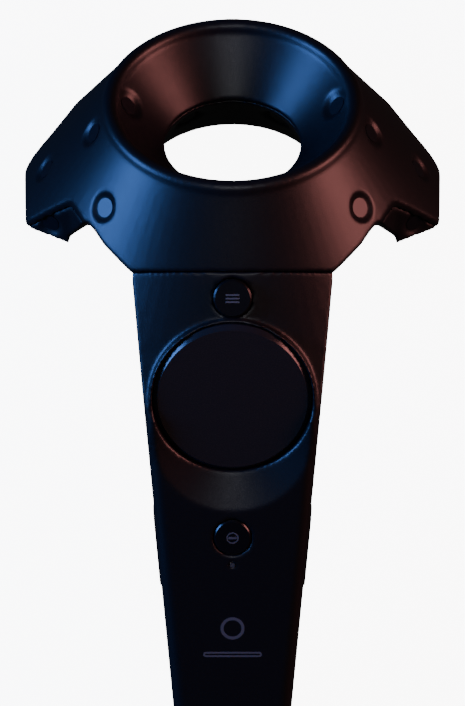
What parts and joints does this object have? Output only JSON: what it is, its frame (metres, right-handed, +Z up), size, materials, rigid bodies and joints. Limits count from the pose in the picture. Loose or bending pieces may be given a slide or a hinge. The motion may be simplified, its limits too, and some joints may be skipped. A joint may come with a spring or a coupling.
{
  "type": "vr motion controller",
  "caption": "Hand-held motion controller with a funnel-shaped sensor ring at its head, a round thumb pad, two face buttons, side grip buttons and a trigger.",
  "frame": {"origin": "middle of the footprint, on the surface that the controller lies on: it rests on the flat under the ring and on the flat under the butt", "axes": "+Z up, out of the face that carries the pad; +Y from the butt to the ring along the length; +X to the right, seen from above with the ring at the far end"},
  "size_m": [0.1191, 0.2268, 0.0779],
  "materials": {
    "battery_wrap": "shrink film",
    "board_green": "solder mask",
    "brass_insert": "turned",
    "button_plastic": "semi-gloss",
    "chip_black": "epoxy",
    "clear_lens": "clear, polished",
    "copper_flex": "polyimide film",
    "funnel_plastic": "smooth satin",
    "inner_plastic": "as moulded",
    "motor_steel": "satin",
    "pad_plastic": "matt, finely speckled",
    "shell_plastic": "fine moulded grain, satin",
    "shield_steel": "bright tinned",
    "steel": "plain",
    "switch_metal": "satin dome",
    "white_led": "glossy"
  },
  "bodies": {
    "controller_body": {"antenna": "copper_flex", "battery_cell": "battery_wrap", "battery_plug": "inner_plastic", "butt_cap": "shell_plastic", "chassis": "inner_plastic", "chassis_screws": "steel", "face_screws": "steel", "funnel_liner": "funnel_plastic", "funnel_sensor_boards": "board_green", "grip_board_left": "board_green", "grip_board_right": "board_green", "grip_switch_left": "switch_metal", "grip_switch_right": "switch_metal", "handle_face_shell": "shell_plastic", "handle_rear_shell": "shell_plastic", "haptic_bracket": "shield_steel", "haptic_motor": "motor_steel", "head_lower_shell": "shell_plastic", "head_screw_posts": "brass_insert", "head_screws": "steel", "head_upper_shell": "shell_plastic", "lanyard_bar": "steel", "lower_sensor_boards": "board_green", "main_board": "board_green", "menu_board": "board_green", "menu_switch": "switch_metal", "processor": "chip_black", "radio_shield": "shield_steel", "ring_flex_board": "copper_flex", "skirt_sensor_boards": "board_green", "status_led": "white_led", "status_led_lens": "clear_lens", "system_board": "board_green", "system_switch": "switch_metal", "trackpad_switch": "switch_metal", "trigger_pin": "steel", "trigger_sensor_board": "board_green", "trigger_spring": "steel", "usb_socket": "steel"},
    "trackpad": {"trackpad_disc": "pad_plastic", "trackpad_board": "board_green"},
    "menu_button": {"menu_button": "button_plastic"},
    "system_button": {"system_button": "button_plastic"},
    "grip_button_left": {"grip_button_left": "button_plastic"},
    "grip_button_right": {"grip_button_right": "button_plastic"},
    "trigger": {"trigger": "button_plastic"}
  },
  "joints": [
    {"name": "trackpad_press", "type": "slide", "parent": "controller_body", "child": "trackpad", "axis": [0, 0.4067, -0.9135], "range_m": [0, 0.0006], "stiffness_N_per_m": 1000, "springref_m": -0.0004},
    {"name": "menu_press", "type": "slide", "parent": "controller_body", "child": "menu_button", "axis": [0, 0.134, -0.991], "range_m": [0, 0.0005], "stiffness_N_per_m": 1500, "springref_m": -0.0003},
    {"name": "system_press", "type": "slide", "parent": "controller_body", "child": "system_button", "axis": [0, 0.342, -0.9397], "range_m": [0, 0.0005], "stiffness_N_per_m": 1500, "springref_m": -0.0003},
    {"name": "grip_left_press", "type": "slide", "parent": "controller_body", "child": "grip_button_left", "axis": [1, 0, 0], "range_m": [0, 0.0006], "stiffness_N_per_m": 1500, "springref_m": -0.0003},
    {"name": "grip_right_press", "type": "slide", "parent": "controller_body", "child": "grip_button_right", "axis": [-1, 0, 0], "range_m": [0, 0.0006], "stiffness_N_per_m": 1500, "springref_m": -0.0003},
    {"name": "trigger_pull", "type": "hinge", "parent": "controller_body", "child": "trigger", "pos_m": [0, 0.04459, 0.05575], "axis": [-1, 0, 0], "range_deg": [0, 18], "stiffness_Nm_per_rad": 0.06, "springref_deg": -8.59}
  ]
}
